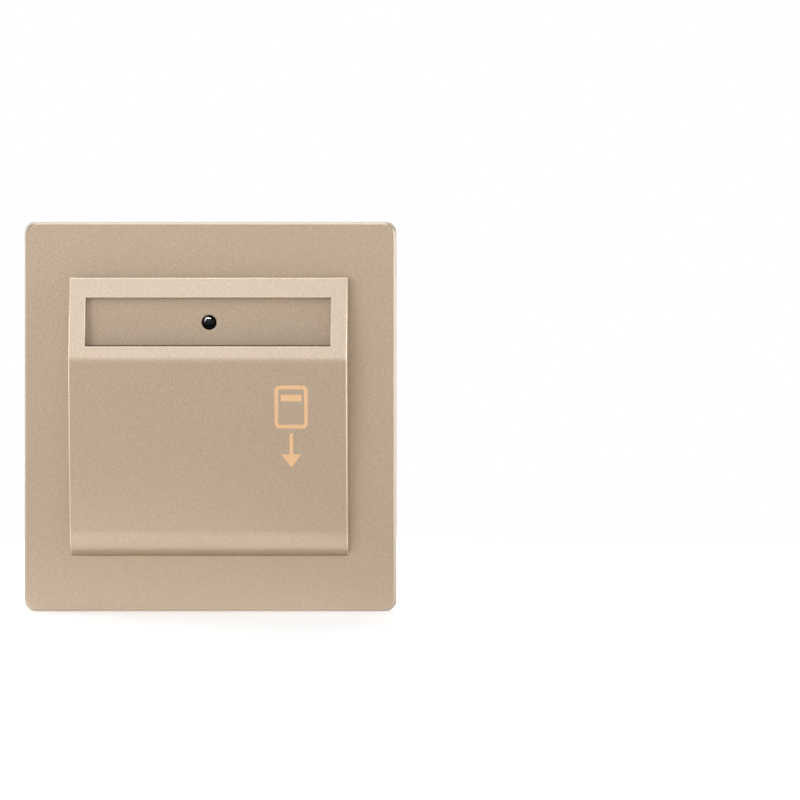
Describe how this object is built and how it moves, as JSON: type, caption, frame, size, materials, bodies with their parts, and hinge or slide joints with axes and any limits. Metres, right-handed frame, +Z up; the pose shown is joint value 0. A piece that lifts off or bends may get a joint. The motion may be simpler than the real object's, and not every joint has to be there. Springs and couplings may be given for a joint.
{
  "type": "hotel key card switch",
  "caption": "Flush wall switch with a sloping card pocket on a square face panel; a key card pushed into the pocket presses a lever that turns the room's power on.",
  "frame": {"origin": "centre of the wall plane, which the rear edge of the base frame's rim touches", "axes": "+X to the right seen from the front, +Y into the wall, +Z up; the card window faces -Y"},
  "size_m": [0.086, 0.0444, 0.09],
  "materials": {
    "gold_paint": "satin metallic champagne gold paint",
    "ivory_plastic": "smooth moulded",
    "white_plastic": "fine matt moulded",
    "black_lens": "glossy dark dome",
    "grey_steel": "grey hammered coating",
    "brass": "bright turned",
    "green_board": "solder mask",
    "bright_steel": "plated",
    "blue_plastic": "moulded",
    "yellow_plastic": "moulded",
    "black_plastic": "moulded",
    "pale_ceramic": "lacquered",
    "red_plastic": "moulded"
  },
  "bodies": {
    "wall_unit": {"face_panel": "gold_paint", "card_housing": "gold_paint", "card_tray": "gold_paint", "base_frame": "ivory_plastic", "indicator_lamp": "black_lens", "lamp_spacer": "white_plastic", "steel_bracket": "grey_steel", "base_box": "white_plastic", "rear_cover": "white_plastic", "circuit_board": "green_board", "board_screws": "bright_steel", "relay": "blue_plastic", "film_capacitor": "yellow_plastic", "storage_capacitors": "black_plastic", "rectifier_diodes": "black_plastic", "surge_disc": "blue_plastic", "drop_resistors": "pale_ceramic", "driver_transistor": "black_plastic", "timer_chip": "black_plastic", "switch_case": "black_plastic", "switch_leads": "bright_steel", "lever_pin": "bright_steel", "terminal_block_1": "brass", "terminal_block_2": "brass", "terminal_block_3": "brass"},
    "card_lever": {"card_lever": "bright_steel"},
    "switch_plunger": {"switch_plunger": "red_plastic"},
    "terminal_screw_1": {"terminal_screw_1": "brass"},
    "terminal_screw_2": {"terminal_screw_2": "brass"},
    "terminal_screw_3": {"terminal_screw_3": "brass"}
  },
  "joints": [
    {"name": "lever_hinge", "type": "hinge", "parent": "wall_unit", "child": "card_lever", "pos_m": [0, -0.005, -0.0092], "axis": [1, 0, 0], "range_deg": [0, 12], "stiffness_Nm_per_rad": 0.01, "springref_deg": -3.44},
    {"name": "plunger_slide", "type": "slide", "parent": "wall_unit", "child": "switch_plunger", "axis": [0, 1, 0], "range_m": [0, 0.0009]},
    {"name": "screw_1_slide", "type": "slide", "parent": "wall_unit", "child": "terminal_screw_1", "axis": [0, 0, 1], "range_m": [-0.0008, 0.0015]},
    {"name": "screw_2_slide", "type": "slide", "parent": "wall_unit", "child": "terminal_screw_2", "axis": [0, 0, 1], "range_m": [-0.0002, 0.0023]},
    {"name": "screw_3_slide", "type": "slide", "parent": "wall_unit", "child": "terminal_screw_3", "axis": [0, 0, 1], "range_m": [-0.0008, 0.0015]}
  ],
  "couplings": [
    {"joint": "plunger_slide", "follows": "lever_hinge", "m_per_rad": 0.0036}
  ]
}
